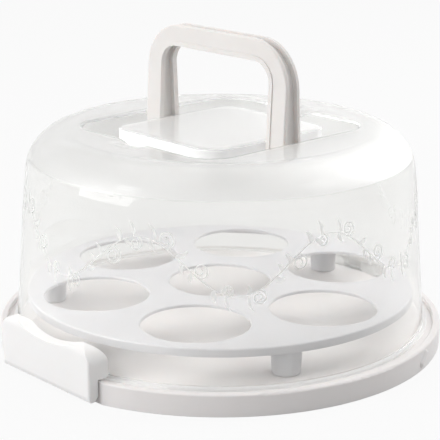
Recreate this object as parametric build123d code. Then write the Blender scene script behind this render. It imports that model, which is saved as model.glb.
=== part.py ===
from build123d import *
import os
from math import cos, radians, sin, sqrt, tan

# Round cake carrier, in millimetres, standing on the table plane Z = 0 with its axis on Z.
# The latch faces -Y, the lid's hinge is at +Y, and the carrying handle spans X.

# Clearances between pieces
slip = 0.3                  # faces of different pieces that rest or pass close by
pin_slip = 0.05             # radial play of a pin in its bore
overcut = 1.0               # how far a cut is carried past the face that it opens

# Base: an upside-down shallow tray that the cake stands on
base_radius = 150.0
base_height = 14.4          # table to the top of the rim
base_wall = 2.4
rim_width = 5.2             # raised outer rim around the lid's seat
rim_round = 1.4             # outer edge of the rim
rim_chamfer = 0.9           # inner edge of the rim
deck_drop = 0.4             # deck below the top of the rim
seat_depth = 2.2            # lid seat below the top of the rim
rib_height = 4.0
rib_count = 6
rib_ring_radius = 78.0
thumb_ridge_angle = 18.0    # middle of each thumb ridge, from +X towards +Y, degrees
thumb_ridge_length = 14.0
thumb_ridge_radius = 3.5
thumb_ridge_proud = 1.5     # ridge in front of the skirt
thumb_ridge_slant = 40.0    # its end towards the hinge is the higher one, degrees

# Lid: clear thin-walled dome
lip_side_gap = 3.8          # edge of the lid's lip to the rim
lid_crown_height = 144.4    # table to the flat crown
lid_draft = 4.76            # lean of the wall, degrees
lid_wall = 2.0
lid_shoulder = 29.0         # radius between wall and crown
lid_lip_reach = 2.2
lid_lip_height = 2.2
deck_side_gap = 1.0         # deck edge to the inside of the lid's foot

# Raised panel in the crown and the moat around it that takes the folded handle
panel_side_gap = 1.7        # panel to the inner side of the handle's legs
panel_end_gap = 3.5         # panel to the grip of the folded handle
panel_corner = 15.0
panel_drop = 1.4            # panel top below the crown
panel_round = 1.5
moat_corner = 20.0
moat_side_gap = 1.4         # handle's side to the moat's wall
moat_end_gap = 1.6          # end of the folded handle to the moat's wall
scoop_half_width = 15.0     # finger scoop in the moat's rim, front and back
scoop_depth = 4.0
scoop_length = 12.0
moat_rim_flare = 1.4        # slanted upper edge of the moat

# Carrying handle: an inverted U of I section
handle_width = 133.4
handle_reach = 71.5         # pin axis to the top of the grip
handle_bar = 14.0           # height of the grip
handle_leg = 15.0           # width of a leg
handle_outer_corner = 31.0
handle_inner_corner = 13.5
handle_depth = 14.0         # front to back
handle_foot_depth = 18.6    # front to back at the pin
handle_flare_height = 44.0  # pin axis to where the flare starts
handle_edge_round = 1.2
handle_boss = 5.5           # pin axis to where the channels end
flange_wall = 3.8
channel_depth = 3.4
border_width = 3.1          # raised border along the inside of both flanges
border_step = 0.8
handle_pin_radius = 2.5
handle_pin_head_radius = 4.5
handle_pin_head = 1.6

# Cupcake tray: a lift-out disc on three legs
tray_side_gap = 4.0         # tray's edge to the inside of the lid
tray_height = 36.3          # table to its top face
tray_wall = 2.0
tray_rim_height = 5.5
tray_rim_round = 1.2
well_radius = 34.9
well_margin = 8.9           # edge of the outer holes to the tray's edge
well_count = 6
well_edge_round = 0.8       # upper edge of each hole
tray_turn = 6.8             # how far the loose tray is turned, degrees
leg_count = 3
leg_margin = 1.2            # top of a leg to the tray's edge
leg_top_radius = 10.0
leg_foot_radius = 9.0
leg_round = 1.0

# Latch: a wide flap on a pin at the foot of the base
latch_width = 90.0
latch_height = 35.0         # flap from its lower edge to its top corners
latch_wall = 7.0
latch_back_gap = 0.8        # flap to the flat of the base
latch_lift = 2.0            # table to the flap's lower edge
latch_pin_height = 5.0
latch_pin_radius = 1.25
latch_pin_end_gap = 1.0     # pin's ends to the ends of its bore
latch_pin_end_wall = 4.0    # closes the bore at the flap's right end
latch_pin_inset = 4.4       # pin axis behind the flap's face
latch_lug_radius = 2.6
latch_lug_width = 10.0
latch_lug_spacing = 56.0
latch_lug_side_gap = 0.5
latch_lip_gap = 1.2         # head to the edge of the lid's lip
latch_head_lift = 1.1       # underside of the head above the rim
latch_nose = 16.0           # how far the head's ends reach in behind the flap's face
latch_nose_height = 7.0
latch_toe = 2.0             # slanted corner under the head's nose
latch_brow = 2.4            # bulge of the head's back
latch_front_round = 6.0     # front edge of the head's top
latch_corner = 12.0         # upper corners, seen from the front
latch_end_round = 2.0       # upright front edges, seen from above
latch_grip_depth = 6.5      # finger scoop in the flap's top edge
latch_grip_width = 66.0
latch_edge_round = 1.2      # lower front edge, slanted

# Hinge of the lid, on a pin behind the dome
hinge_pin_radius = 1.5
hinge_knuckle_radius = 3.7
hinge_inset = 4.6           # pin axis inside the base's outline
hinge_rise = 3.6            # pin axis above the rim
hinge_knuckle_width = 16.0
hinge_side_gap = 0.4
hinge_knuckle_count = 5     # odd, so that the base holds both ends of the pin

# Heights and radii that follow
deck_top = base_height - deck_drop
seat_top = base_height - seat_depth
rim_inner_radius = base_radius - rim_width
lid_foot = seat_top + slip
lip_radius = rim_inner_radius - lip_side_gap
lid_foot_radius = lip_radius - lid_lip_reach
lip_top = lid_foot + lid_lip_height
deck_radius = lid_foot_radius - lid_wall - deck_side_gap
panel_length = handle_width - 2 * (handle_leg + panel_side_gap)
panel_width = 2 * (handle_reach - handle_bar - panel_end_gap)
panel_top = lid_crown_height - panel_drop
handle_axis_height = panel_top - handle_depth / 2
foot_radius = handle_foot_depth / 2
moat_floor = handle_axis_height - foot_radius - slip
moat_half_length = handle_width / 2 + moat_side_gap
moat_half_width = handle_reach + moat_end_gap
tray_lean = (tray_height - lid_foot) * tan(radians(lid_draft))
tray_radius = lid_foot_radius - lid_wall / cos(radians(lid_draft)) - tray_lean - tray_side_gap
well_ring_radius = tray_radius - well_margin - well_radius
leg_ring_radius = tray_radius - leg_margin - leg_top_radius
latch_face = base_radius
latch_flat = latch_face - latch_wall - latch_back_gap
latch_head_bottom = base_height + latch_head_lift
latch_top = latch_lift + latch_height
latch_pin_place = latch_face - latch_pin_inset
hinge_place = base_radius - hinge_inset
hinge_height = base_height + hinge_rise


def export(node, name):
    """Write one node's solids to its own STEP file."""
    node.label = name
    export_step(node, f"parts/{name}.step")


def cylinder(radius, low, high, place=(0, 0)):
    """Upright cylinder between two heights."""
    return Pos(place[0], place[1], low) * extrude(Circle(radius), high - low)


def cross_rod(radius, length, place, height, middle=0.0):
    """Round rod along X whose axis is at Y = place and Z = height."""
    return Pos(middle, place, height) * Rot(0, 90, 0) * Cylinder(radius, length)


def block(low, high):
    """Box between two corners."""
    size = [high[i] - low[i] for i in range(3)]
    middle = [(high[i] + low[i]) / 2 for i in range(3)]
    return Pos(*middle) * Box(*size)


def turned(points):
    """Body of revolution about Z of a closed outline given as (radius, height) points."""
    outline = Polyline(*[(radius, 0, height) for radius, height in points], close=True)
    return revolve(make_face(outline), Axis.Z)


def rounded_prism(half_x, half_y, corner, low, high):
    """Upright prism with a rounded-rectangle outline."""
    return Pos(0, 0, low) * extrude(RectangleRounded(2 * half_x, 2 * half_y, corner), high - low)


def hinge_spans():
    """Centres in X of the hinge's knuckles, in order."""
    pitch = hinge_knuckle_width + hinge_side_gap
    first = -pitch * (hinge_knuckle_count - 1) / 2
    return [first + pitch * i for i in range(hinge_knuckle_count)]


def base():
    """Deck, lid seat, rim and skirt in one moulding, with the latch's lugs and hinge knuckles."""
    under_seat = seat_top - base_wall
    under_deck = deck_top - base_wall
    body = turned([
        (0, deck_top), (deck_radius, deck_top), (deck_radius, seat_top), (rim_inner_radius, seat_top),
        (rim_inner_radius, base_height - rim_chamfer), (rim_inner_radius + rim_chamfer, base_height),
        (base_radius, base_height), (base_radius, 0),
        (base_radius - base_wall, 0), (base_radius - base_wall, under_seat),
        (deck_radius - base_wall, under_seat), (deck_radius - base_wall, under_deck), (0, under_deck)])
    rim_edge = body.edges().filter_by(GeomType.CIRCLE).group_by(Axis.Z)[-1].sort_by(SortBy.RADIUS)[-1]
    body = fillet(rim_edge, min(rim_round, 0.4 * rim_width))
    inside = cylinder(base_radius - base_wall / 2, under_deck - rib_height, under_deck + base_wall / 2)
    body += rib_web(under_deck) & inside
    body += thumb_ridges()
    outline = cylinder(base_radius, 0, base_height)
    front = block((-base_radius, -2 * base_radius, -overcut),
                  (base_radius, -latch_flat, base_height + overcut))
    flat_wall = block((-base_radius, -latch_flat, 0),
                      (base_radius, base_wall - latch_flat, seat_top - base_wall / 2))
    body = body - front + (flat_wall & outline)
    return body + latch_lugs() - latch_pin_bore() + hinge_posts() - hinge_clearance() - hinge_pin_bore()


def rib_web(under_deck):
    """Radial ribs and a ring rib under the deck."""
    low = under_deck - rib_height
    high = under_deck + base_wall / 2
    outer = deck_radius - base_wall / 2
    web = cylinder(rib_ring_radius, low, high) - cylinder(rib_ring_radius - base_wall, low, high)
    for i in range(rib_count):
        spoke = block((0, -base_wall / 2, low), (outer, base_wall / 2, high))
        web += Rot(0, 0, 360 * (i + 0.5) / rib_count) * spoke
    return web


def thumb_ridges():
    """Two slanted half-round ridges on the skirt, left and right, that thumbs press on."""
    middle = base_height / 2
    place = thumb_ridge_radius - thumb_ridge_proud - base_radius
    rod = cross_rod(thumb_ridge_radius, thumb_ridge_length, place, middle)
    rod = fillet(rod.edges().filter_by(GeomType.CIRCLE), 0.8 * thumb_ridge_radius)
    within_wall = cylinder(base_radius - base_wall / 2, -overcut, base_height + overcut)
    ridges = []
    for side in (-1, 1):
        slanted = Pos(0, 0, middle) * Rot(0, side * thumb_ridge_slant, 0) * Pos(0, 0, -middle) * rod
        angle = 90 + side * (90 - thumb_ridge_angle)
        ridges.append(Rot(0, 0, 90 + angle) * slanted - within_wall)
    return ridges


def latch_lugs():
    """Two lugs on the base's flat that hold the latch's pin."""
    lugs = []
    for side in (-1, 1):
        middle = side * latch_lug_spacing / 2
        nose = cross_rod(latch_lug_radius, latch_lug_width, -latch_pin_place, latch_pin_height, middle)
        low = (middle - latch_lug_width / 2, -latch_pin_place, latch_pin_height - latch_lug_radius)
        high = (middle + latch_lug_width / 2, base_wall / 2 - latch_flat,
                latch_pin_height + latch_lug_radius)
        lugs += [nose, block(low, high)]
    return lugs


def latch_pin_bore():
    """Bore for the latch's pin through lugs and flap, open at the left end of the flap."""
    length = latch_width + overcut - latch_pin_end_wall
    middle = -(latch_pin_end_wall + overcut) / 2
    return cross_rod(latch_pin_radius + pin_slip, length, -latch_pin_place, latch_pin_height, middle)


def hinge_posts():
    """The base's knuckles, each on a post that grows out of the rim."""
    posts = []
    for middle in hinge_spans()[0::2]:
        posts.append(cross_rod(hinge_knuckle_radius, hinge_knuckle_width, hinge_place, hinge_height, middle))
        low = (middle - hinge_knuckle_width / 2, hinge_place - hinge_knuckle_radius, seat_top)
        high = (middle + hinge_knuckle_width / 2, hinge_place + hinge_knuckle_radius, hinge_height)
        posts.append(block(low, high) & cylinder(base_radius - rim_round, 0, hinge_height))
    return posts


def hinge_clearance():
    """Room in the rim for the lid's own knuckles and their arms."""
    radius = hinge_knuckle_radius + hinge_side_gap
    half = hinge_knuckle_width / 2 + hinge_side_gap
    rooms = []
    for middle in hinge_spans()[1::2]:
        rooms.append(cross_rod(radius, 2 * half, hinge_place, hinge_height, middle))
        low = (middle - half, lid_foot_radius, hinge_height - radius)
        rooms.append(block(low, (middle + half, hinge_place, hinge_height)))
    return rooms


def hinge_pin_bore():
    """Bore for the hinge's pin."""
    return cross_rod(hinge_pin_radius + pin_slip, 2 * base_radius, hinge_place, hinge_height)


def hinge_pin():
    """Steel pin of the lid's hinge."""
    length = hinge_spans()[-1] - hinge_spans()[0] + hinge_knuckle_width
    return cross_rod(hinge_pin_radius, length, hinge_place, hinge_height)


def dome(inset):
    """Solid dome: the lid's outer form, or the space inside it for an inset of one wall."""
    lean = radians(lid_draft)
    shoulder = lid_shoulder - inset
    top = lid_crown_height - inset
    # centre of the shoulder's arc, and where the arc meets the leaning wall
    arc_height = lid_crown_height - lid_shoulder
    foot_radius_here = lid_foot_radius - inset / cos(lean)
    wall_at_arc = foot_radius_here - (arc_height - lid_foot) * sin(lean) / cos(lean)
    arc_radius = wall_at_arc - shoulder / cos(lean)
    touch = (arc_radius + shoulder * cos(lean), arc_height + shoulder * sin(lean))
    middle_angle = radians(90 + lid_draft) / 2
    middle = (arc_radius + shoulder * cos(middle_angle), arc_height + shoulder * sin(middle_angle))
    crown = (arc_radius, top)
    side = [(0, lid_foot), (foot_radius_here, lid_foot), touch]
    outline = Polyline(*[(r, 0, z) for r, z in side])
    outline += ThreePointArc(*[(r, 0, z) for r, z in (touch, middle, crown)])
    outline += Polyline((crown[0], 0, crown[1]), (0, 0, top), (0, 0, lid_foot))
    return revolve(make_face(outline), Axis.Z)


def moat_space():
    """Space of the moat around the panel, open at the top."""
    above = lid_crown_height + overcut
    space = rounded_prism(moat_half_length, moat_half_width, moat_corner, moat_floor, above)
    mouth = RectangleRounded(2 * moat_half_length, 2 * moat_half_width, moat_corner)
    flare = moat_rim_flare + overcut
    space += Pos(0, 0, lid_crown_height - moat_rim_flare) * extrude(mouth, flare, taper=-45)
    island = rounded_prism(panel_length / 2, panel_width / 2, panel_corner, moat_floor - overcut, panel_top)
    island = fillet(island.faces().sort_by(Axis.Z)[-1].edges(), panel_round)
    return space - island


def lid():
    """Clear dome with its lip, the moat and panel pressed into its crown, and its hinge arms."""
    body = dome(0)
    hollow = dome(lid_wall)
    tub = rounded_prism(moat_half_length + lid_wall, moat_half_width + lid_wall, moat_corner + lid_wall,
                        moat_floor - lid_wall, lid_crown_height)
    under_panel = rounded_prism(panel_length / 2 - lid_wall, panel_width / 2 - lid_wall,
                                panel_corner - lid_wall, moat_floor - 2 * lid_wall, panel_top - lid_wall)
    hollow -= tub - under_panel
    hollow -= finger_scoops(lid_wall)
    body -= moat_space()
    body -= hollow
    lip = cylinder(lip_radius, lid_foot, lip_top)
    body += lip - cylinder(lid_foot_radius - lid_wall / 2, lid_foot, lip_top)
    body -= finger_scoops(0)
    body += lid_knuckles()
    body -= hinge_pin_bore()
    return body - handle_pin_bore()


def finger_scoops(skin):
    """Rods of the scoops in the moat's rim, front and back, grown all round by one skin."""
    radius = (scoop_half_width ** 2 + scoop_depth ** 2) / (2 * scoop_depth)
    rod = Rot(90, 0, 0) * Cylinder(radius + skin, scoop_length + skin)
    centre = moat_half_width + (scoop_length + skin) / 2 - lid_wall
    return [Pos(0, side * centre, lid_crown_height + radius - scoop_depth) * rod for side in (-1, 1)]


def lid_knuckles():
    """The lid's knuckles, each on an arm from the lid's foot."""
    arms = []
    inside = dome(lid_wall)
    for middle in hinge_spans()[1::2]:
        arms.append(cross_rod(hinge_knuckle_radius, hinge_knuckle_width, hinge_place, hinge_height, middle))
        half = hinge_knuckle_width / 2
        low = (middle - half, lid_foot_radius - 3 * lid_wall, hinge_height - hinge_knuckle_radius)
        high = (middle + half, hinge_place, hinge_height + hinge_knuckle_radius)
        arms.append(block(low, high) - inside)
    return arms


def handle_pin_bore():
    """Bore for the handle's pins through the panel's side, the legs and the moat's wall."""
    length = 2 * (moat_half_length + 2 * lid_wall)
    return cross_rod(handle_pin_radius + pin_slip, length, 0, handle_axis_height)


def handle_pin(side):
    """Headed pin pushed outwards from under the panel through one leg."""
    head_in = panel_length / 2 - lid_wall - slip
    tip = moat_half_length + lid_wall
    shank = cross_rod(handle_pin_radius, tip - head_in, 0, handle_axis_height, side * (tip + head_in) / 2)
    head = cross_rod(handle_pin_head_radius, handle_pin_head, 0, handle_axis_height,
                     side * (head_in - handle_pin_head / 2))
    return shank + head


def arch(side_inset, reach, leg_bottom):
    """Face of the handle's outline in the XZ plane, from its feet to its top, at an inset."""
    outer_corner = handle_outer_corner - side_inset
    inner_corner = handle_inner_corner + reach
    half_out = handle_width / 2 - side_inset
    half_in = handle_width / 2 - handle_leg + reach
    top_out = handle_axis_height + handle_reach - side_inset
    top_in = handle_axis_height + handle_reach - handle_bar + reach
    outer = arch_blank(half_out, top_out, outer_corner, leg_bottom)
    inner = arch_blank(half_in, top_in, inner_corner, leg_bottom)
    return outer - inner


def arch_blank(half, top, corner, bottom):
    """Face in the XZ plane with straight sides, round upper corners and a flat lower end."""
    rise = sqrt(0.5) * corner
    outline = Polyline((-half, 0, top - corner), (-half, 0, bottom),
                       (half, 0, bottom), (half, 0, top - corner))
    outline += ThreePointArc((half, 0, top - corner), (half - corner + rise, 0, top - corner + rise),
                             (half - corner, 0, top))
    outline += Line((half - corner, 0, top), (corner - half, 0, top))
    outline += ThreePointArc((corner - half, 0, top), (corner - half - rise, 0, top - corner + rise),
                             (-half, 0, top - corner))
    return make_face(outline)


def side_form(thinner):
    """Handle's side outline as a solid across the whole width: straight grip, flared round foot."""
    grip = handle_depth / 2 - thinner
    foot = foot_radius - thinner
    top = handle_axis_height + handle_reach + overcut
    flare = handle_axis_height + handle_flare_height
    axis = handle_axis_height
    outline = Polyline((0, -foot, axis), (0, -grip, flare), (0, -grip, top), (0, grip, top),
                       (0, grip, flare), (0, foot, axis))
    outline += ThreePointArc((0, foot, axis), (0, 0, axis - foot), (0, -foot, axis))
    return extrude(make_face(outline), handle_width, both=True, dir=(1, 0, 0))


def handle():
    """Carrying handle, moulded in one piece."""
    bottom = handle_axis_height - 2 * foot_radius
    plate = extrude(arch(0, 0, bottom), handle_foot_depth, both=True, dir=(0, 1, 0))
    body = plate & side_form(border_step)
    body = fillet(body.edges(), min(handle_edge_round, flange_wall / 3))
    band = extrude(arch(-overcut, border_width, bottom), handle_foot_depth, both=True, dir=(0, 1, 0))
    body += (plate - band) & side_form(0)
    web = arch(channel_depth, channel_depth, bottom)
    web = extrude(web, handle_foot_depth, both=True, dir=(0, 1, 0))
    groove = (plate - web) & side_form(flange_wall)
    groove -= block((-handle_width, -handle_foot_depth, bottom),
                    (handle_width, handle_foot_depth, handle_axis_height + handle_boss))
    return body - groove - handle_pin_bore()


def tray_ring(count, first):
    """Angles of evenly spaced features on the tray, degrees."""
    return [tray_turn + first + 360 * i / count for i in range(count)]


def cupcake_tray():
    """Disc with a turned-down rim, one hole in the middle, a ring of holes, and three legs."""
    under = tray_height - tray_wall
    body = cylinder(tray_radius, tray_height - tray_rim_height, tray_height)
    body -= cylinder(tray_radius - tray_wall, tray_height - tray_rim_height, under)
    rim_top = body.edges().filter_by(GeomType.CIRCLE).group_by(Axis.Z)[-1]
    body = fillet(rim_top, min(tray_rim_round, 0.8 * tray_wall))
    for angle in tray_ring(leg_count, -180 / well_count):
        foot = deck_top + slip
        ends = [Circle(leg_foot_radius), Pos(0, 0, under - foot) * Circle(leg_top_radius)]
        leg = Pos(0, 0, foot) * loft(ends)
        leg = fillet(leg.edges().group_by(Axis.Z)[0], min(leg_round, leg_foot_radius / 2))
        body += Rot(0, 0, angle) * Pos(leg_ring_radius, 0, 0) * leg
    places = [(0, 0)] + [(well_ring_radius * cos(radians(a)), well_ring_radius * sin(radians(a)))
                         for a in tray_ring(well_count, 0)]
    body -= [cylinder(well_radius, under - overcut, tray_height + overcut, place) for place in places]
    top_edges = body.edges().filter_by(GeomType.CIRCLE).group_by(Axis.Z)[-1]
    well_edges = top_edges.filter_by(lambda edge: edge.radius < (well_radius + tray_radius) / 2)
    return fillet(well_edges, min(well_edge_round, 0.4 * tray_wall))


def latch_section():
    """Flap and head as a prism along X: a flat flap whose head reaches in over the rim."""
    face = -latch_face
    back = face + latch_wall
    nose = face + latch_nose
    arc = latch_front_round * (1 - sqrt(0.5))
    nose_top = (0, nose, latch_head_bottom + latch_nose_height)
    crest = (0, face + latch_front_round, latch_top)
    # the head's back bulges out from the straight line between nose and crest
    run = nose_top[1] - crest[1]
    rise = crest[2] - nose_top[2]
    bulge = latch_brow / sqrt(run ** 2 + rise ** 2)
    brow = (0, (nose_top[1] + crest[1]) / 2 + bulge * rise, (nose_top[2] + crest[2]) / 2 + bulge * run)
    outline = Polyline((0, back, latch_pin_height), (0, back, latch_head_bottom),
                       (0, nose - latch_toe, latch_head_bottom), (0, nose, latch_head_bottom + latch_toe),
                       nose_top)
    outline += ThreePointArc(nose_top, brow, crest)
    outline += ThreePointArc(crest, (0, face + arc, latch_top - arc),
                             (0, face, latch_top - latch_front_round))
    outline += Polyline((0, face, latch_top - latch_front_round), (0, face, latch_pin_height),
                        (0, face + latch_edge_round, latch_lift), (0, face + latch_pin_inset, latch_lift),
                        (0, back, latch_pin_height))
    return extrude(make_face(outline), latch_width / 2, both=True, dir=(1, 0, 0))


def latch():
    """Wide flap that turns on a pin at its foot and grips the lid's lip with its head."""
    front = Pos(0, -latch_face, latch_lift + latch_height / 2) * Rot(90, 0, 0)
    shield = RectangleRounded(latch_width, latch_height, latch_corner)
    blank = front * extrude(shield, latch_face, both=True)
    lower_half = block((-latch_width / 2, -2 * latch_face, 0), (latch_width / 2, 0, latch_head_bottom))
    plan = extrude(RectangleRounded(latch_width, 2 * latch_face, latch_end_round), latch_top)
    body = latch_section() & (blank + lower_half) & plan
    grip_radius = ((latch_grip_width / 2) ** 2 + latch_grip_depth ** 2) / (2 * latch_grip_depth)
    grip = Pos(0, -latch_face, latch_top + grip_radius - latch_grip_depth) * Rot(90, 0, 0)
    body -= grip * Cylinder(grip_radius, 4 * latch_nose)
    body -= cylinder(lip_radius + latch_lip_gap, base_height, latch_top + overcut)
    body -= latch_lug_slots()
    return body - latch_pin_bore()


def latch_lug_slots():
    """Slots behind the flap's face that clear the base's lugs over the whole swing."""
    slots = []
    reach = latch_lug_radius + slip
    for side in (-1, 1):
        middle = side * latch_lug_spacing / 2
        half = latch_lug_width / 2 + latch_lug_side_gap
        slots.append(cross_rod(reach, 2 * half, -latch_pin_place, latch_pin_height, middle))
        slots.append(block((middle - half, -latch_pin_place, latch_pin_height - reach),
                           (middle + half, 0, latch_pin_height + reach)))
        slots.append(block((middle - half, -latch_pin_place - reach, 0),
                           (middle + half, 0, latch_pin_height)))
    return slots


def latch_pin():
    """Steel pin of the latch."""
    length = latch_width - latch_pin_end_wall - 2 * latch_pin_end_gap
    middle = -latch_pin_end_wall / 2
    return cross_rod(latch_pin_radius, length, -latch_pin_place, latch_pin_height, middle)


def main():
    """Build every sub-part and write it to its file."""
    os.makedirs("parts", exist_ok=True)
    export(base(), "base")
    export(cupcake_tray(), "cupcake_tray")
    export(lid(), "lid")
    export(hinge_pin(), "hinge_pin")
    export(handle(), "carrying_handle")
    export(handle_pin(-1), "handle_pin_left")
    export(handle_pin(1), "handle_pin_right")
    export(latch(), "latch")
    export(latch_pin(), "latch_pin")


main()
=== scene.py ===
"""Looks of a round cake carrier with a clear hinged dome, a cupcake tray and a folding handle.

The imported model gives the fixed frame. Each sub-assembly below is a class that holds its sizes
and dresses or builds its pieces in metres, in that frame: Z up, the table at Z = 0, the latch
towards -Y and the dome's hinge towards +Y.
"""

import logging
import math
from dataclasses import dataclass, field
from enum import Enum
from typing import Dict, Iterable, List, Optional, Sequence, Tuple

import bmesh
import bpy
from mathutils import Matrix, Vector

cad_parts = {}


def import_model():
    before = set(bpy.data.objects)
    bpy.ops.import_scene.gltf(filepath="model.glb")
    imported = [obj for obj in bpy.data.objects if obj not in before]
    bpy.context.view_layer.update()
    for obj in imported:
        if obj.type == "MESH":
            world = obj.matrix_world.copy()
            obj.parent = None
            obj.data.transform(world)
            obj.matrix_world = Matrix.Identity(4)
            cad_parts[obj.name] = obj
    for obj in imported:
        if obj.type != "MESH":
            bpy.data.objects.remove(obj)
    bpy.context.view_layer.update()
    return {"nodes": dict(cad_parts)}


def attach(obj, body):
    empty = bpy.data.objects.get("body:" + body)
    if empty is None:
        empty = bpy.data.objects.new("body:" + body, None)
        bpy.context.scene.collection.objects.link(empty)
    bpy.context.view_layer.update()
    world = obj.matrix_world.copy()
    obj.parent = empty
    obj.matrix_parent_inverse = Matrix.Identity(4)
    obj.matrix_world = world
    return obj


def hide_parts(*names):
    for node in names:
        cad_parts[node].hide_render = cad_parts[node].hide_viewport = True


LOG = logging.getLogger("cake_carrier")
MM = 0.001
FROSTED_ALL_OVER = 200.0        # a reach in millimetres that is wider than the dome

Colour = Tuple[float, float, float, float]
Point = Tuple[float, float, float]


class Body(Enum):
    """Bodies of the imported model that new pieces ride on."""

    LID = "lid"


class Slot(Enum):
    """Material slot of the record; no piece in this script takes it."""

    CLEAR = "clear_polypropylene"


class DomeFace(Enum):
    """Faces of the dome by finish, in the order of its material slots."""

    OUTSIDE = 0
    INSIDE = 1
    MILKY = 2


def linear(hex_colour: str) -> Colour:
    """Turn an sRGB hex colour into the linear colour that shaders take.

    Args:
        hex_colour: Six hex digits, red, green, blue.

    Returns:
        Linear red, green and blue with an alpha of 1.
    """
    parts = [int(hex_colour[i:i + 2], 16) / 255 for i in (0, 2, 4)]
    low = [p / 12.92 if p <= 0.04045 else ((p + 0.055) / 1.055) ** 2.4 for p in parts]
    return (low[0], low[1], low[2], 1.0)


def add_node(tree: bpy.types.NodeTree, kind: str, settings: Optional[Dict[str, object]] = None,
             links: Optional[Dict[object, bpy.types.NodeSocket]] = None) -> bpy.types.Node:
    """Add one node with its settings and its incoming links.

    Args:
        tree: Node tree that the node goes into.
        kind: Blender's type name of the node.
        settings: Values by input name or number, or by attribute where no input has that name.
        links: Sockets to join, by input name or number.

    Returns:
        The new node.
    """
    node = tree.nodes.new(kind)
    for key, value in (settings or {}).items():
        if isinstance(key, int) or key in node.inputs:
            node.inputs[key].default_value = value
        else:
            setattr(node, key, value)
    for key, socket in (links or {}).items():
        tree.links.new(socket, node.inputs[key])
    return node


def blank_material(name: str) -> Tuple[bpy.types.Material, bpy.types.NodeTree]:
    """Make a material with an empty node tree.

    Args:
        name: Name of the material.

    Returns:
        The material and its tree.
    """
    material = bpy.data.materials.new(name)
    material.use_nodes = True
    material.node_tree.nodes.clear()
    return material, material.node_tree


def piece_from(mesh: bmesh.types.BMesh, name: str, smooth_angle: float = 40.0) -> bpy.types.Object:
    """Turn a bmesh into a scene object with smooth faces and sharp edges by angle.

    Args:
        mesh: The bmesh, which is freed.
        name: Name of the object and its mesh.
        smooth_angle: Edges that bend more than this, in degrees, stay sharp.

    Returns:
        The new object.
    """
    bmesh.ops.recalc_face_normals(mesh, faces=mesh.faces)
    data = bpy.data.meshes.new(name)
    limit = math.radians(smooth_angle)
    for face in mesh.faces:
        face.smooth = True
    for edge in mesh.edges:
        edge.smooth = len(edge.link_faces) == 2 and edge.calc_face_angle(0.0) < limit
    mesh.to_mesh(data)
    mesh.free()
    piece = bpy.data.objects.new(name, data)
    bpy.context.scene.collection.objects.link(piece)
    return piece


def dress(piece: bpy.types.Object, material: bpy.types.Material) -> None:
    """Give a piece one material in place of any it has."""
    piece.data.materials.clear()
    piece.data.materials.append(material)


def mount(piece: bpy.types.Object, body: Body) -> None:
    """Let a new piece ride on a body."""
    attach(piece, body.value)


def direct_rays(tree: bpy.types.NodeTree) -> bpy.types.NodeSocket:
    """Share that is 1 for camera, mirror and clear-plastic rays, and 0 for diffuse light.

    Args:
        tree: Node tree that the nodes go into.

    Returns:
        Socket with the share.
    """
    path = add_node(tree, "ShaderNodeLightPath")
    seen = add_node(tree, "ShaderNodeMath", {"operation": "MAXIMUM"},
                    {0: path.outputs["Is Camera Ray"], 1: path.outputs["Is Glossy Ray"]})
    seen = add_node(tree, "ShaderNodeMath", {"operation": "MAXIMUM"},
                    {0: seen.outputs[0], 1: path.outputs["Is Transmission Ray"]})
    return seen.outputs[0]


# ---------------------------------------------------------------- finishes


@dataclass(frozen=True)
class MouldedPolypropylene:
    """Injection-moulded white polypropylene: soft gloss, slightly see-through at thin edges."""

    name: str
    colour: str = "e9e6e5"
    shade: str = "e2dedd"       # colour in the middle of a cloud
    roughness: float = 0.34
    gloss_less: float = 0.04    # roughness varies by this much either way
    gloss_more: float = 0.05
    ior: float = 1.49
    translucency: float = 0.12
    glow_mm: float = 2.5        # how far light spreads inside the plastic
    mottle_mm: float = 38.0
    grain_mm: float = 1.1
    grain_height_mm: float = 0.012
    grain_strength: float = 0.35

    def build(self) -> bpy.types.Material:
        """Make the material.

        Returns:
            Material with cloudy colour, uneven gloss and a fine moulded grain.
        """
        material, tree = blank_material(self.name)
        place = add_node(tree, "ShaderNodeTexCoord").outputs["Object"]
        # melt that cools unevenly leaves faint clouds a few centimetres wide
        cloud = add_node(tree, "ShaderNodeTexNoise",
                         {"Scale": 1 / (self.mottle_mm * MM), "Detail": 3.0, "Roughness": 0.55},
                         {"Vector": place})
        tint = add_node(tree, "ShaderNodeMix",
                        {"data_type": "RGBA", 6: linear(self.colour), 7: linear(self.shade)},
                        {0: cloud.outputs["Fac"]})
        # spark-eroded moulds print a grain of a few tenths of a millimetre; it is drawn coarser to show
        grain = add_node(tree, "ShaderNodeTexNoise",
                         {"Scale": 1 / (self.grain_mm * MM), "Detail": 2.0, "Roughness": 0.6},
                         {"Vector": place})
        gloss = add_node(tree, "ShaderNodeMapRange",
                         {"From Min": 0.3, "From Max": 0.7, "To Min": self.roughness - self.gloss_less,
                          "To Max": self.roughness + self.gloss_more}, {"Value": cloud.outputs["Fac"]})
        bump = add_node(tree, "ShaderNodeBump",
                        {"Strength": self.grain_strength, "Distance": self.grain_height_mm * MM},
                        {"Height": grain.outputs["Fac"]})
        shader = add_node(tree, "ShaderNodeBsdfPrincipled",
                          {"IOR": self.ior, "Subsurface Weight": self.translucency,
                           "Subsurface Radius": (1.0, 0.72, 0.6), "Subsurface Scale": self.glow_mm * MM},
                          {"Base Color": tint.outputs[2], "Roughness": gloss.outputs[0],
                           "Normal": bump.outputs[0]})
        add_node(tree, "ShaderNodeOutputMaterial", links={"Surface": shader.outputs[0]})
        return material


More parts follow.
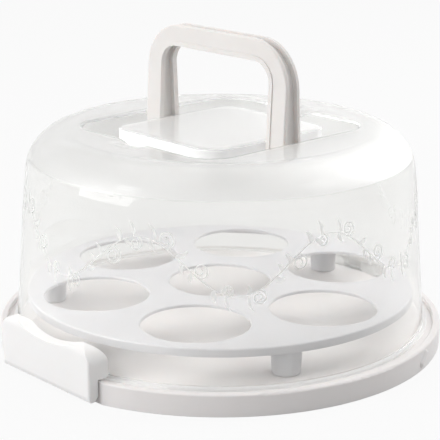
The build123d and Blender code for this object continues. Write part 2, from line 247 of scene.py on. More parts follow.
@dataclass(frozen=True)
class ClearPolypropylene:
    """Clear moulded polypropylene: a glassy wall that turns frosted at the shoulder."""

    name: str
    wall: str = "f8f8f7"
    crown: str = "f4f4f3"
    haze_colour: str = "f2f2f1"
    wall_shade: str = "fbfbfa"  # light that makes shadows, once through the wall
    crown_shade: str = "f4f4f4"  # the same through the frosted crown
    smooth: float = 0.03        # roughness of the wall
    etched: float = 0.03        # roughness where it is frosted
    haze: float = 0.0           # share of milk where it is frosted
    wall_haze: float = 0.075
    ior: float = 1.5
    frost_low_mm: float = 124.6     # the frosting begins and is full at these heights
    frost_high_mm: float = 128.4
    frost_reach_mm: float = 112.0   # nearer to the axis than this all is frosted
    ripple_mm: float = 24.0
    ripple_height_mm: float = 0.05
    wall_ripple: float = 0.12
    crown_ripple: float = 0.02

    def frost(self, tree: bpy.types.NodeTree, place: bpy.types.NodeSocket) -> bpy.types.NodeSocket:
        """Share of frosting: 0 on the wall, 1 from the shoulder to the middle of the crown.

        Args:
            tree: Node tree of the material.
            place: Socket with the place in the model's frame.

        Returns:
            Socket with the share.
        """
        split = add_node(tree, "ShaderNodeSeparateXYZ", links={0: place})
        flat = add_node(tree, "ShaderNodeCombineXYZ",
                        links={"X": split.outputs["X"], "Y": split.outputs["Y"]})
        reach = add_node(tree, "ShaderNodeVectorMath", {"operation": "LENGTH"}, {0: flat.outputs[0]})
        high = add_node(tree, "ShaderNodeMapRange",
                        {"interpolation_type": "SMOOTHSTEP", "From Min": self.frost_low_mm * MM,
                         "From Max": self.frost_high_mm * MM}, {"Value": split.outputs["Z"]})
        near = add_node(tree, "ShaderNodeMath", {"operation": "LESS_THAN", 1: self.frost_reach_mm * MM},
                        {0: reach.outputs["Value"]})
        crown = add_node(tree, "ShaderNodeMath", {"operation": "MAXIMUM"},
                         {0: high.outputs[0], 1: near.outputs[0]})
        return crown.outputs[0]

    def build(self) -> bpy.types.Material:
        """Make the material.

        Returns:
            Clear material, with a haze and a rougher face where it is frosted.
        """
        material, tree = blank_material(self.name)
        place = add_node(tree, "ShaderNodeTexCoord").outputs["Object"]
        frost = self.frost(tree, place)
        ripple = add_node(tree, "ShaderNodeTexNoise",
                          {"Scale": 1 / (self.ripple_mm * MM), "Detail": 1.0}, {"Vector": place})
        calm = add_node(tree, "ShaderNodeMapRange",
                        {"To Min": self.wall_ripple, "To Max": self.crown_ripple}, {"Value": frost})
        bump = add_node(tree, "ShaderNodeBump", {"Distance": self.ripple_height_mm * MM},
                        {"Strength": calm.outputs[0], "Height": ripple.outputs["Fac"]})
        tint = add_node(tree, "ShaderNodeMix",
                        {"data_type": "RGBA", 6: linear(self.wall), 7: linear(self.crown)}, {0: frost})
        rough = add_node(tree, "ShaderNodeMapRange", {"To Min": self.smooth, "To Max": self.etched},
                         {"Value": frost})
        clear = add_node(tree, "ShaderNodeBsdfPrincipled", {"IOR": self.ior, "Transmission Weight": 1.0},
                         {"Base Color": tint.outputs[2], "Roughness": rough.outputs[0],
                          "Normal": bump.outputs[0]})
        # a milky sheet is lit by what falls on either side of it
        front = add_node(tree, "ShaderNodeBsdfDiffuse", {"Color": linear(self.haze_colour)})
        back = add_node(tree, "ShaderNodeBsdfTranslucent", {"Color": linear(self.haze_colour)})
        milk = add_node(tree, "ShaderNodeMixShader", {0: 0.5}, {1: front.outputs[0], 2: back.outputs[0]})
        share = add_node(tree, "ShaderNodeMapRange", {"To Min": self.wall_haze, "To Max": self.haze},
                         {"Value": frost})
        body = add_node(tree, "ShaderNodeMixShader",
                        links={0: share.outputs[0], 1: clear.outputs[0], 2: milk.outputs[0]})
        # light that only makes shadows passes straight through the thin wall
        through = add_node(tree, "ShaderNodeMix",
                           {"data_type": "RGBA", 6: linear(self.wall_shade), 7: linear(self.crown_shade)},
                           {0: frost})
        veil = add_node(tree, "ShaderNodeBsdfTransparent", links={"Color": through.outputs[2]})
        path = add_node(tree, "ShaderNodeLightPath")
        mix = add_node(tree, "ShaderNodeMixShader",
                       links={0: path.outputs["Is Shadow Ray"], 1: body.outputs[0], 2: veil.outputs[0]})
        add_node(tree, "ShaderNodeOutputMaterial", links={"Surface": mix.outputs[0]})
        return material


@dataclass(frozen=True)
class DrawnSteel:
    """Drawn steel rod: bright grey with fine lines along its length."""

    name: str
    colour: str = "b9b9b7"
    line_colour: str = "8f8f8e"
    roughness: float = 0.28
    gloss_less: float = 0.08    # roughness varies by this much either way
    gloss_more: float = 0.12
    line_mm: float = 0.5

    def build(self) -> bpy.types.Material:
        """Make the material.

        Returns:
            Metal with drawing lines along X.
        """
        material, tree = blank_material(self.name)
        place = add_node(tree, "ShaderNodeTexCoord").outputs["Object"]
        stretch = add_node(tree, "ShaderNodeMapping", {"Scale": (0.02, 1.0, 1.0)}, {"Vector": place})
        lines = add_node(tree, "ShaderNodeTexNoise", {"Scale": 1 / (self.line_mm * MM), "Detail": 2.0},
                         {"Vector": stretch.outputs[0]})
        gloss = add_node(tree, "ShaderNodeMapRange",
                         {"To Min": self.roughness - self.gloss_less,
                          "To Max": self.roughness + self.gloss_more},
                         {"Value": lines.outputs["Fac"]})
        tint = add_node(tree, "ShaderNodeMix",
                        {"data_type": "RGBA", 6: linear(self.colour), 7: linear(self.line_colour)},
                        {0: lines.outputs["Fac"]})
        shader = add_node(tree, "ShaderNodeBsdfPrincipled", {"Metallic": 1.0},
                          {"Base Color": tint.outputs[2], "Roughness": gloss.outputs[0]})
        add_node(tree, "ShaderNodeOutputMaterial", links={"Surface": shader.outputs[0]})
        return material


@dataclass(frozen=True)
class StudioFloor:
    """Matt white photographic board that shows white and keeps a soft shadow."""

    name: str
    colour: str = "b9b9b9"
    lift: float = 0.92          # share of plain white over the board

    def build(self) -> bpy.types.Material:
        """Make the material.

        Returns:
            Diffuse board, mostly covered by plain white for camera, mirror and clear-plastic rays.
        """
        material, tree = blank_material(self.name)
        board = add_node(tree, "ShaderNodeBsdfDiffuse", {"Color": linear(self.colour)})
        share = add_node(tree, "ShaderNodeMath", {"operation": "MULTIPLY", 1: self.lift},
                         {0: direct_rays(tree)})
        white = add_node(tree, "ShaderNodeEmission", {"Color": (1.0, 1.0, 1.0, 1.0), "Strength": 1.0})
        total = add_node(tree, "ShaderNodeMixShader",
                         links={0: share.outputs[0], 1: board.outputs[0], 2: white.outputs[0]})
        add_node(tree, "ShaderNodeOutputMaterial", links={"Surface": total.outputs[0]})
        return material


# ---------------------------------------------------------------- sub-assemblies


@dataclass
class BaseDish:
    """Round base with its pins."""

    finish: MouldedPolypropylene = field(
        default_factory=lambda: MouldedPolypropylene("moulded_white_polypropylene_base"))
    steel: DrawnSteel = field(default_factory=lambda: DrawnSteel("drawn_steel_rod"))

    def build(self, nodes: Dict[str, bpy.types.Object]) -> None:
        """Dress the base, its white hinge pin and the latch's steel pin.

        Args:
            nodes: CAD nodes by name.
        """
        white = self.finish.build()
        dress(nodes["base"], white)
        dress(nodes["hinge_pin"], white)
        dress(nodes["latch_pin"], self.steel.build())
        LOG.info("dressed base, hinge_pin and latch_pin")


@dataclass
class CupcakeTray:
    """Lift-out tray with seven holes."""

    finish: MouldedPolypropylene = field(
        default_factory=lambda: MouldedPolypropylene("moulded_white_polypropylene_tray", colour="c9c8cb",
                                                     shade="c2c1c4"))

    def build(self, nodes: Dict[str, bpy.types.Object]) -> None:
        """Dress the tray.

        Args:
            nodes: CAD nodes by name.
        """
        dress(nodes["cupcake_tray"], self.finish.build())
        LOG.info("dressed cupcake_tray")


@dataclass
class DomeLid:
    """Clear dome: one thin shell from its lip to the panel in its crown, and the hinge arms."""

    outside: ClearPolypropylene = field(default_factory=lambda: ClearPolypropylene(
        "clear_polypropylene_glossy_outside", etched=0.16, haze=0.12))
    inside: ClearPolypropylene = field(default_factory=lambda: ClearPolypropylene(
        "clear_polypropylene_etched_inside", etched=0.5, haze=0.1))
    relief: ClearPolypropylene = field(default_factory=lambda: ClearPolypropylene(
        "clear_polypropylene_frosted_relief", haze_colour="ffffff", etched=0.3, haze=0.2, ior=1.12,
        frost_reach_mm=FROSTED_ALL_OVER))
    milky: ClearPolypropylene = field(default_factory=lambda: ClearPolypropylene(
        "clear_polypropylene_milky_edges", haze_colour="f4f4f4", etched=0.3, haze=0.8,
        frost_reach_mm=FROSTED_ALL_OVER))
    steps: int = 480            # points round the axis
    wall_rows: int = 22         # rings up the wall
    shoulder_rows: int = 26     # rings round the shoulder
    edge_rows: int = 6          # faces across a rounded edge
    foot_z: float = 12.5
    lip_radius: float = 141.0
    lip_rise: float = 2.2
    lip_edge: float = 0.35      # slanted edges of the lip
    foot_radius: float = 138.8
    crown_z: float = 144.4
    lean: float = 4.76
    wall: float = 2.0
    shoulder: float = 29.0
    moat_half: Tuple[float, float] = (68.1, 73.1)
    moat_corner: float = 20.0
    moat_floor: float = 126.4
    panel_half: Tuple[float, float] = (50.0, 54.0)
    panel_corner: float = 15.0
    panel_z: float = 143.0
    rim_round: float = 2.0
    floor_round: float = 1.6
    panel_round: float = 1.0
    scoop_half: float = 15.0
    scoop_depth: float = 4.0
    scoop_run: float = 10.0
    scoop_low: float = 9.0      # a scoop fades in from this far below the crown
    scoop_fade: float = 6.0
    middle_share: float = 0.02  # smallest ring, as a share of the one round it
    knuckle_radius: float = 3.7
    knuckle_width: float = 16.0
    knuckle_middles: Tuple[float, float] = (-16.4, 16.4)
    hinge_axis: Tuple[float, float] = (145.4, 18.0)
    bore_radius: float = 1.55
    round_steps: int = 24       # points round a knuckle and its bore

    def shell_outline(self, inset: float) -> List[Tuple[float, float]]:
        """Half-section of the dome from its foot to the edge of the flat crown.

        Args:
            inset: Millimetres inside the outer face.

        Returns:
            Points as (radius, height) in millimetres, foot first.
        """
        lean = math.radians(self.lean)
        radius = self.shoulder - inset
        arc_z = self.crown_z - self.shoulder
        foot = self.foot_radius - inset / math.cos(lean)
        wall_at_arc = foot - (arc_z - self.foot_z) * math.tan(lean)
        arc_r = wall_at_arc - radius / math.cos(lean)
        touch = (arc_r + radius * math.cos(lean), arc_z + radius * math.sin(lean))
        points = []
        for i in range(self.wall_rows):
            t = i / self.wall_rows
            points.append((foot + (touch[0] - foot) * t, self.foot_z + (touch[1] - self.foot_z) * t))
        for i in range(self.shoulder_rows + 1):
            angle = lean + (math.pi / 2 - lean) * i / self.shoulder_rows
            points.append((arc_r + radius * math.cos(angle), arc_z + radius * math.sin(angle)))
        return points

    def circle(self, radius: float, height: float) -> List[Point]:
        """Ring of points on a circle, in millimetres."""
        ring = []
        for i in range(self.steps):
            angle = 2 * math.pi * i / self.steps
            ring.append((radius * math.cos(angle), radius * math.sin(angle), height))
        return ring

    def rounded(self, half: Tuple[float, float], corner: float, grow: float, height: float) -> List[Point]:
        """Ring of points on a rounded rectangle, one in each direction from the axis.

        Args:
            half: Half length and half width in millimetres.
            corner: Corner radius.
            grow: How far the outline is moved outwards.
            height: Height of the ring.

        Returns:
            Points in millimetres.
        """
        hx, hy, radius = half[0] + grow, half[1] + grow, corner + grow
        cx, cy = hx - radius, hy - radius
        ring = []
        for i in range(self.steps):
            angle = 2 * math.pi * i / self.steps
            c, s = abs(math.cos(angle)), abs(math.sin(angle))
            reach = min(hx / max(c, 1e-9), hy / max(s, 1e-9))
            if reach * c > cx and reach * s > cy:
                along = c * cx + s * cy
                reach = along + math.sqrt(max(along ** 2 - (cx ** 2 + cy ** 2 - radius ** 2), 0.0))
            ring.append((reach * math.cos(angle), reach * math.sin(angle), height))
        return ring

    def blend_rings(self, inner: List[Point], outer: List[Point], count: int) -> List[List[Point]]:
        """Rings evenly between two rings, without the two themselves, from outer to inner."""
        rings = []
        for k in range(1, count + 1):
            t = k / (count + 1)
            rings.append([tuple(b + (a - b) * t for a, b in zip(p, q)) for p, q in zip(inner, outer)])
        return rings

    def middle_of(self, ring: List[Point]) -> List[Point]:
        """Small ring in the middle of a level one."""
        return [(self.middle_share * x, self.middle_share * y, z) for x, y, z in ring]

    def rounding(self, half: Tuple[float, float], corner: float, grow: float, height: float, radius: float,
                 start: float, end: float, out: float, up: float) -> List[List[Point]]:
        """Rings of a rounded edge that follows a rounded rectangle.

        Args:
            half: Half length and half width of the outline.
            corner: Its corner radius.
            grow: Offset of the edge's centre line from the outline.
            height: Height of the edge's centre line.
            radius: Radius of the rounding.
            start: First angle in degrees, from the outward direction towards up.
            end: Last angle in degrees.
            out: 1 or -1, the side that the rounding bulges to.
            up: 1 or -1, whether it bulges up or down.

        Returns:
            Rings in order from start to end.
        """
        rings = []
        for k in range(self.edge_rows + 1):
            angle = math.radians(start + (end - start) * k / self.edge_rows)
            rings.append(self.rounded(half, corner, grow + out * radius * math.cos(angle),
                                      height + up * radius * math.sin(angle)))
        return rings

    def outer_rings(self) -> List[List[Point]]:
        """Rings of the outer face from the foot to the panel's middle."""
        outline = self.shell_outline(0.0)
        edge = self.lip_edge
        lip_z = self.foot_z + self.lip_rise
        rings = [self.circle(self.lip_radius - edge, self.foot_z),
                 self.circle(self.lip_radius, self.foot_z + edge),
                 self.circle(self.lip_radius, lip_z - edge), self.circle(self.lip_radius - edge, lip_z)]
        wall_r = self.foot_radius - self.lip_rise * math.tan(math.radians(self.lean))
        rings += [self.circle(wall_r + edge, lip_z), self.circle(wall_r, lip_z + edge)]
        rings += [self.circle(r, z) for r, z in outline if z > lip_z + 2 * edge]
        crown = self.circle(outline[-1][0], self.crown_z)
        r = self.rim_round
        rim = self.rounding(self.moat_half, self.moat_corner, r, self.crown_z - r, r, 90, 0, -1, 1)
        rings += self.blend_rings(rim[0], crown, 5) + rim
        f = self.floor_round
        rings += self.rounding(self.moat_half, self.moat_corner, -f, self.moat_floor + f, f, 0, 90, 1, -1)
        rings += self.rounding(self.panel_half, self.panel_corner, f, self.moat_floor + f, f, 90, 0, -1, -1)
        p = self.panel_round
        top = self.rounding(self.panel_half, self.panel_corner, -p, self.panel_z - p, p, 0, 90, 1, 1)
        rings += top
        centre = self.middle_of(top[-1])
        return rings + self.blend_rings(centre, top[-1], 6) + [centre]

    def inner_rings(self) -> List[List[Point]]:
        """Rings of the inner face from the foot to the panel's middle."""
        outline = self.shell_outline(self.wall)
        rings = [self.circle(r, z) for r, z in outline]
        under = self.crown_z - self.wall
        w = self.wall
        tub = self.rounded(self.moat_half, self.moat_corner, w, under)
        rings += self.blend_rings(tub, rings[-1], 4) + [tub]
        low = self.moat_floor - w
        f = self.floor_round
        rings += self.rounding(self.moat_half, self.moat_corner, w - f, low + f, f, 0, 90, 1, -1)
        rings += self.rounding(self.panel_half, self.panel_corner, f - w, low + f, f, 90, 0, -1, -1)
        ceiling = self.rounded(self.panel_half, self.panel_corner, -w, self.panel_z - w)
        rings.append(ceiling)
        centre = self.middle_of(ceiling)
        return rings + self.blend_rings(centre, ceiling, 4) + [centre]

    def scooped(self, x: float, y: float, z: float) -> float:
        """Height of a point of the crown once the two finger scoops are pressed into it."""
        run = abs(y) - self.moat_half[1]
        if abs(x) >= self.scoop_half or not -self.wall * 1.5 < run < self.scoop_run:
            return z
        across = math.cos(math.pi * x / (2 * self.scoop_half)) ** 2
        along = math.cos(math.pi * max(run, 0.0) / (2 * self.scoop_run)) ** 2
        depth = self.scoop_depth * across * along
        top_band = max(0.0, min(1.0, (z - (self.crown_z - self.scoop_low)) / self.scoop_fade))
        return z - depth * top_band

    def shell(self) -> bmesh.types.BMesh:
        """Closed shell of the dome.

        Returns:
            The mesh in metres.
        """
        mesh = bmesh.new()
        outer = self.outer_rings()
        rings = outer[::-1] + self.inner_rings()
        rows = []
        for ring in rings:
            rows.append([mesh.verts.new((x * MM, y * MM, self.scooped(x, y, z) * MM)) for x, y, z in ring])
        for low, high in zip(rows, rows[1:]):
            for i in range(self.steps):
                j = (i + 1) % self.steps
                mesh.faces.new((low[i], low[j], high[j], high[i]))
        mesh.faces.new(rows[0])
        mesh.faces.new(rows[-1][::-1])
        mesh.faces.ensure_lookup_table()
        outside = len(outer) * self.steps
        for face in mesh.faces[:outside]:
            milky = self.is_milky(face.calc_center_median() / MM)
            face.material_index = (DomeFace.MILKY if milky else DomeFace.OUTSIDE).value
        for face in mesh.faces[outside:]:
            face.material_index = DomeFace.INSIDE.value
        # the last two faces close the panel's middle, the outer one first
        mesh.faces[-2].material_index = DomeFace.OUTSIDE.value
        return mesh

    def is_milky(self, middle: Vector) -> bool:
        """Whether a face of the outside belongs to the lip or the upright side of the raised panel.

        Args:
            middle: Middle of the face in millimetres.

        Returns:
            True at the dome's foot, and between the moat's floor and the panel's top edge.
        """
        if middle.z < self.foot_z + self.lip_rise + 0.3:
            return True
        over = abs(middle.x) < self.panel_half[0] + 0.1 and abs(middle.y) < self.panel_half[1] + 0.1
        return over and self.moat_floor + self.floor_round < middle.z < self.panel_z - 0.3

    def add_hinge_arms(self, mesh: bmesh.types.BMesh) -> None:
        """Add the two arms that carry the dome's knuckles.

        Args:
            mesh: Mesh that the arms are added to.
        """
        y0, z0 = self.hinge_axis
        root = self.foot_radius - 1.2 * self.wall
        section = [(root, z0 - self.knuckle_radius)]
        radius = self.knuckle_radius
        for k in range(self.round_steps + 1):
            angle = math.radians(-90 + 180 * k / self.round_steps)
            section.append((y0 + radius * math.cos(angle), z0 + radius * math.sin(angle)))
        section.append((root, z0 + radius))
        bore = []
        for k in range(self.round_steps):
            angle = 2 * math.pi * k / self.round_steps
            bore.append((y0 + self.bore_radius * math.cos(angle), z0 + self.bore_radius * math.sin(angle)))
        for middle in self.knuckle_middles:
            ends = []
            for x in (middle - self.knuckle_width / 2, middle + self.knuckle_width / 2):
                loops = []
                for outline in (section, bore):
                    verts = [mesh.verts.new((x * MM, y * MM, z * MM)) for y, z in outline]
                    edges = [mesh.edges.new((verts[k - 1], verts[k])) for k in range(len(verts))]
                    loops.append((verts, edges))
                bmesh.ops.triangle_fill(mesh, edges=loops[0][1] + loops[1][1], use_beauty=True)
                ends.append(loops)
            for (first, _), (second, _) in zip(ends[0], ends[1]):
                for k in range(len(first)):
                    mesh.faces.new((first[k - 1], first[k], second[k], second[k - 1]))

    def build(self, nodes: Dict[str, bpy.types.Object]) -> None:
        """Build the dome in place of the plain solid, and its ornament.

        Args:
            nodes: CAD nodes by name.
        """
        material = self.outside.build()
        dress(nodes["lid"], material)
        dome = piece_from(self.shell(), "dome_shell", 50.0)
        arms_mesh = bmesh.new()
        self.add_hinge_arms(arms_mesh)
        arms = piece_from(arms_mesh, "dome_hinge_arms")
        for face_material in (material, self.inside.build(), self.milky.build()):
            dome.data.materials.append(face_material)
        frosted = self.relief.build()
        dress(arms, frosted)
        for piece in (dome, arms):
            mount(piece, Body.LID)
        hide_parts("lid")
        LOG.info("built %s with %d faces and %s", dome.name, len(dome.data.polygons), arms.name)
        VineOrnament(foot_radius=self.foot_radius, foot_z=self.foot_z, lean=self.lean).build(frosted)


@dataclass
class VineOrnament:
    """Raised vine scroll round the dome's wall: a waving stem with curls and leaves."""

    foot_radius: float
    foot_z: float
    lean: float
    middle_z: float = 87.0
    wave: float = 17.0
    bays: int = 14
    bead: float = 0.6           # half width of the stem
    rise: float = 0.25          # height of the relief
    root: float = 0.06          # how deep it is rooted in the wall
    stem_steps: int = 28        # lengths of stem in a bay
    stroke_steps: int = 6       # faces across a stroke
    leaf_steps: int = 10
    leaf_bend: float = 0.5      # how far a leaf turns along its length, in radians
    leaf_thin: float = 0.12     # half width of a leaf's ends
    sway_turn: float = 2.4      # how far one bay's sway is from the next one's, in radians

    def bay_length(self) -> float:
        """Length of one bay along the wall at mid height, in millimetres."""
        return 2 * math.pi * self.radius_at(self.middle_z) / self.bays

    def radius_at(self, height: float) -> float:
        """Outer radius of the wall at a height, in millimetres."""
        return self.foot_radius - (height - self.foot_z) * math.tan(math.radians(self.lean))

    def on_wall(self, along: float, height: float, out: float) -> Vector:
        """Point of the wall.

        Args:
            along: Millimetres round the wall at mid height.
            height: Millimetres above the table.
            out: Millimetres outwards from the wall's outer face.

        Returns:
            The point in metres.
        """
        angle = along / self.radius_at(self.middle_z)
        lean = math.radians(self.lean)
        radius = self.radius_at(height) + out * math.cos(lean)
        lifted = height + out * math.sin(lean)
        return Vector((radius * math.cos(angle), radius * math.sin(angle), lifted)) * MM

    def stroke(self, mesh: bmesh.types.BMesh, path: List[Tuple[float, float]],
               widths: List[float]) -> None:
        """Add a rounded bead along a path.

        Args:
            mesh: Mesh that it is added to.
            path: Points as (along, height) in millimetres.
            widths: Half width at each point.
        """
        rows = []
        for k, (along, height) in enumerate(path):
            a, b = path[max(k - 1, 0)], path[min(k + 1, len(path) - 1)]
            du, dv = b[0] - a[0], b[1] - a[1]
            length = math.hypot(du, dv) or 1.0
            nu, nv = -dv / length, du / length
            half = widths[k]
            row = []
            for n in range(self.stroke_steps + 1):
                angle = math.pi * n / self.stroke_steps
                side = half * math.cos(angle)
                out = self.rise * min(1.0, half / self.bead) * math.sin(angle)
                row.append(mesh.verts.new(self.on_wall(along + nu * side, height + nv * side, out)))
            for side in (-half, half):
                row.append(mesh.verts.new(self.on_wall(along + nu * side, height + nv * side, -self.root)))
            rows.append(row)
        count = len(rows[0])
        for low, high in zip(rows, rows[1:]):
            for i in range(count):
                j = (i + 1) % count
                mesh.faces.new((low[i], low[j], high[j], high[i]))
        mesh.faces.new(rows[0][::-1])
        mesh.faces.new(rows[-1])

    def curl(self, start: Tuple[float, float], heading: float, size: float, turns: float,
             hand: int) -> List[Tuple[float, float]]:
        """Path that leaves a point and winds into a spiral.

        Args:
            start: First point.
            heading: First direction in radians.
            size: Radius of the first turn in millimetres.
            turns: Number of turns.
            hand: 1 winds to the left, -1 to the right.

        Returns:
            Points of the path.
        """
        steps = max(12, int(22 * turns))
        path = [start]
        angle = heading
        for k in range(steps):
            t = (k + 1) / steps
            radius = size * (1 - 0.78 * t)
            step = 2 * math.pi * turns * radius / steps
            angle += hand * 2 * math.pi * turns / steps
            path.append((path[-1][0] + step * math.cos(angle), path[-1][1] + step * math.sin(angle)))
        return path

    def leaf(self, mesh: bmesh.types.BMesh, base: Tuple[float, float], heading: float, length: float,
             width: float) -> None:
        """Add a pointed leaf.

        Args:
            mesh: Mesh that it is added to.
            base: Where the leaf starts.
            heading: Direction in radians.
            length: Length in millimetres.
            width: Widest half width in millimetres.
        """
        path, widths = [], []
        for k in range(self.leaf_steps + 1):
            t = k / self.leaf_steps
            bend = heading + self.leaf_bend * (t - 0.5)
            path.append((base[0] + length * t * math.cos(bend), base[1] + length * t * math.sin(bend)))
            widths.append(max(self.leaf_thin, width * math.sin(math.pi * t ** 0.75)))
        self.stroke(mesh, path, widths)

    def add_bay(self, mesh: bmesh.types.BMesh, number: int) -> None:
        """Add one bay: half a wave of the stem with its curls and leaves.

        Args:
            mesh: Mesh that it is added to.
            number: Number of the bay; even bays are turned upside down.
        """
        length = self.bay_length()
        start = number * length
        flip = 1 if number % 2 else -1      # odd bays wave upwards
        sway = math.sin(self.sway_turn * number)    # no two neighbours grow quite alike

        def stem(t: float) -> Tuple[float, float]:
            """Point of the stem, from 0 to 1 along the bay."""
            return start + length * t, self.middle_z + flip * self.wave * math.sin(math.pi * t)

        def heading(t: float) -> float:
            """Direction of the stem in radians."""
            return math.atan2(flip * self.wave * math.pi * math.cos(math.pi * t), length)

        steps = self.stem_steps
        path = [stem(k / steps) for k in range(steps + 1)]
        widths = [self.bead * (0.5 + 0.3 * math.cos(2 * math.pi * k / steps)) for k in range(steps + 1)]
        self.stroke(mesh, path, widths)
        # curls: where each leaves the stem, its size, its turns and its side
        for t, size, turns, side in ((0.14, 5.4, 1.5, -1), (0.44, 4.2, 1.3, -1), (0.74, 5.0, 1.6, 1)):
            hand = side * flip
            path = self.curl(stem(t + 0.04 * sway), heading(t) + 0.5 * hand, size + 0.7 * sway, turns, hand)
            widths = [self.bead * (0.9 - 0.4 * k / len(path)) for k in range(len(path))]
            self.stroke(mesh, path, widths)
        # leaves: where each leaves the stem, how it turns off it, and its length
        for t, turn, size in ((0.04, 1.1, 7.0), (0.27, 1.2, 8.0), (0.33, -1.2, 6.5), (0.61, -1.1, 7.0),
                              (0.87, 0.9, 7.5), (0.95, -1.1, 6.0)):
            self.leaf(mesh, stem(t), heading(t) + flip * turn, size + sway, 0.2 * size)
        # slim upright buds at the top or bottom of the wave
        for t, size in ((0.4, 10.0), (0.63, 11.0)):
            self.leaf(mesh, stem(t + 0.03 * sway), flip * (math.pi / 2 + 0.1 * sway), size, 0.9)

    def build(self, material: bpy.types.Material) -> None:
        """Build the ornament.

        Args:
            material: The dome's plastic, with the relief's frosted face.
        """
        mesh = bmesh.new()
        for number in range(self.bays):
            self.add_bay(mesh, number)
        relief = piece_from(mesh, "vine_relief", 50.0)
        dress(relief, material)
        mount(relief, Body.LID)
        LOG.info("built %s with %d faces", relief.name, len(relief.data.polygons))


@dataclass
class CarryingHandle:
    """Folding handle with its two pins."""

    finish: MouldedPolypropylene = field(
        default_factory=lambda: MouldedPolypropylene("moulded_white_polypropylene_handle", colour="e4e1df",
                                                     shade="dddad7", roughness=0.36, translucency=0.25))

    def build(self, nodes: Dict[str, bpy.types.Object]) -> None:
        """Dress the handle and its pins.

        Args:
            nodes: CAD nodes by name.
        """
        material = self.finish.build()
        for name in ("carrying_handle", "handle_pin_left", "handle_pin_right"):
            dress(nodes[name], material)
        LOG.info("dressed carrying_handle and its pins")


@dataclass
class FrontLatch:
    """Wide latch flap."""

    finish: MouldedPolypropylene = field(
        default_factory=lambda: MouldedPolypropylene("moulded_white_polypropylene_latch", colour="efeeee",
                                                     shade="e8e7e6"))

    def build(self, nodes: Dict[str, bpy.types.Object]) -> None:
        """Dress the latch.

        Args:
            nodes: CAD nodes by name.
        """
        dress(nodes["latch"], self.finish.build())
        LOG.info("dressed latch")


# ---------------------------------------------------------------- studio


@dataclass(frozen=True)
class Softbox:
    """One square studio lamp, placed round the object as seen from the camera."""

    name: str
    swing: float      # degrees from the camera's own direction, positive to the camera's right
    rise: float       # degrees above the table
    distance: float   # metres from the object's middle
    side: float       # metres
    power: float      # watts
    mirrored: bool = True       # whether glossy faces show it


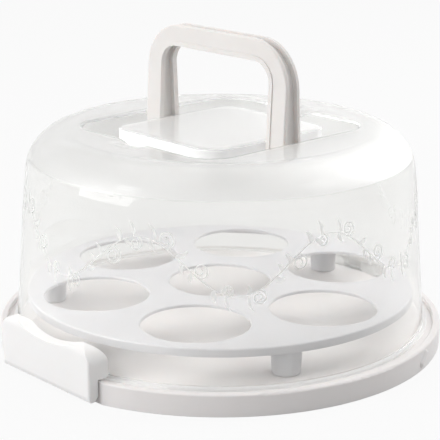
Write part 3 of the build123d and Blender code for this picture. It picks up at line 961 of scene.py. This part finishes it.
@dataclass
class Studio:
    """Floor, camera, lamps and world."""

    camera_swing: float = 47.0      # degrees round from -Y towards +X
    camera_rise: float = 16.3645    # degrees above the table
    camera_distance: float = 1.00241
    camera_aim: float = 0.0785      # height that it looks at
    camera_offset: float = -0.00025     # both the camera and its aim, to the camera's right
    camera_roll: float = 0.1314     # degrees
    lens_mm: float = 121.05
    sensor_mm: float = 36.0
    floor_half: float = 4.0
    floor_cuts: int = 3
    world_level: float = 0.56       # light that falls on matt faces from all round
    lamps: Tuple[Softbox, ...] = (
        Softbox("top_softbox", 180.0, 84.0, 1.5, 1.6, 3.6),
        Softbox("left_softbox", -68.0, 22.0, 1.6, 1.0, 15.0, mirrored=False),
        Softbox("left_glint", -62.0, 40.0, 1.6, 0.3, 0.9),
        Softbox("right_softbox", 122.0, 30.0, 1.7, 1.0, 15.0, mirrored=False),
        Softbox("right_glint", 70.0, 44.0, 1.6, 0.45, 0.9),
    )
    floor: StudioFloor = field(default_factory=lambda: StudioFloor("matt_white_board"))

    def place_of(self, swing: float, rise: float, distance: float) -> Vector:
        """Point round the object, by angle from the camera's direction.

        Args:
            swing: Degrees round from the camera, positive to the camera's right.
            rise: Degrees above the table.
            distance: Metres from the object's middle.

        Returns:
            The point in the model's frame.
        """
        turn = math.radians(self.camera_swing + swing)
        lift = math.radians(rise)
        flat = distance * math.cos(lift)
        height = self.camera_aim + distance * math.sin(lift)
        return Vector((flat * math.sin(turn), -flat * math.cos(turn), height))

    def add_camera(self) -> None:
        """Make the camera and choose it."""
        data = bpy.data.cameras.new("camera")
        data.lens = self.lens_mm
        data.sensor_width = self.sensor_mm
        data.clip_start = 0.01
        data.clip_end = 50.0
        camera = bpy.data.objects.new("camera", data)
        bpy.context.scene.collection.objects.link(camera)
        turn = math.radians(self.camera_swing)
        right = Vector((math.cos(turn), math.sin(turn), 0.0)) * self.camera_offset
        aim = Vector((0.0, 0.0, self.camera_aim)) + right
        camera.location = self.place_of(0.0, self.camera_rise, self.camera_distance) + right
        look = (aim - camera.location).to_track_quat("-Z", "Y").to_matrix()
        roll = Matrix.Rotation(math.radians(self.camera_roll), 3, "Z")
        camera.rotation_euler = (look @ roll).to_euler()
        bpy.context.scene.camera = camera

    def add_lamp(self, box: Softbox) -> None:
        """Hang one softbox that faces the object.

        Args:
            box: The lamp's place, size and power.
        """
        data = bpy.data.lights.new(box.name, "AREA")
        data.shape = "SQUARE"
        data.size = box.side
        data.energy = box.power
        lamp = bpy.data.objects.new(box.name, data)
        lamp.visible_glossy = box.mirrored
        bpy.context.scene.collection.objects.link(lamp)
        lamp.location = self.place_of(box.swing, box.rise, box.distance)
        aim = Vector((0.0, 0.0, self.camera_aim)) - lamp.location
        lamp.rotation_euler = aim.to_track_quat("-Z", "Y").to_euler()

    def add_floor(self) -> None:
        """Lay the floor board."""
        mesh = bmesh.new()
        half = self.floor_half
        corners = ((-half, -half), (half, -half), (half, half), (-half, half))
        mesh.faces.new([mesh.verts.new((x, y, 0.0)) for x, y in corners])
        bmesh.ops.subdivide_edges(mesh, edges=mesh.edges, cuts=self.floor_cuts, use_grid_fill=True)
        board = piece_from(mesh, "floor_board")
        dress(board, self.floor.build())

    def add_world(self) -> None:
        """Even grey light from all round, which clear and glossy plastic sees as white."""
        world = bpy.data.worlds.new("studio_world")
        bpy.context.scene.world = world
        world.use_nodes = True
        tree = world.node_tree
        tree.nodes.clear()
        level = add_node(tree, "ShaderNodeMapRange", {"To Min": self.world_level, "To Max": 1.0},
                         {"Value": direct_rays(tree)})
        sky = add_node(tree, "ShaderNodeBackground", {"Color": (1.0, 1.0, 1.0, 1.0)},
                       {"Strength": level.outputs[0]})
        add_node(tree, "ShaderNodeOutputWorld", links={"Surface": sky.outputs[0]})

    def build(self) -> None:
        """Set up the whole studio."""
        bpy.context.scene.view_settings.view_transform = "Standard"
        self.add_camera()
        for box in self.lamps:
            self.add_lamp(box)
        self.add_floor()
        self.add_world()
        LOG.info("set up the studio")


def main() -> None:
    """Load the frame, dress and build every sub-assembly, and set up the studio."""
    logging.basicConfig(level=logging.INFO, format="%(name)s: %(message)s")
    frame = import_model()
    nodes = frame["nodes"]
    for assembly in (BaseDish(), CupcakeTray(), DomeLid(), CarryingHandle(), FrontLatch()):
        assembly.build(nodes)
    Studio().build()


if __name__ == "__main__":
    main()
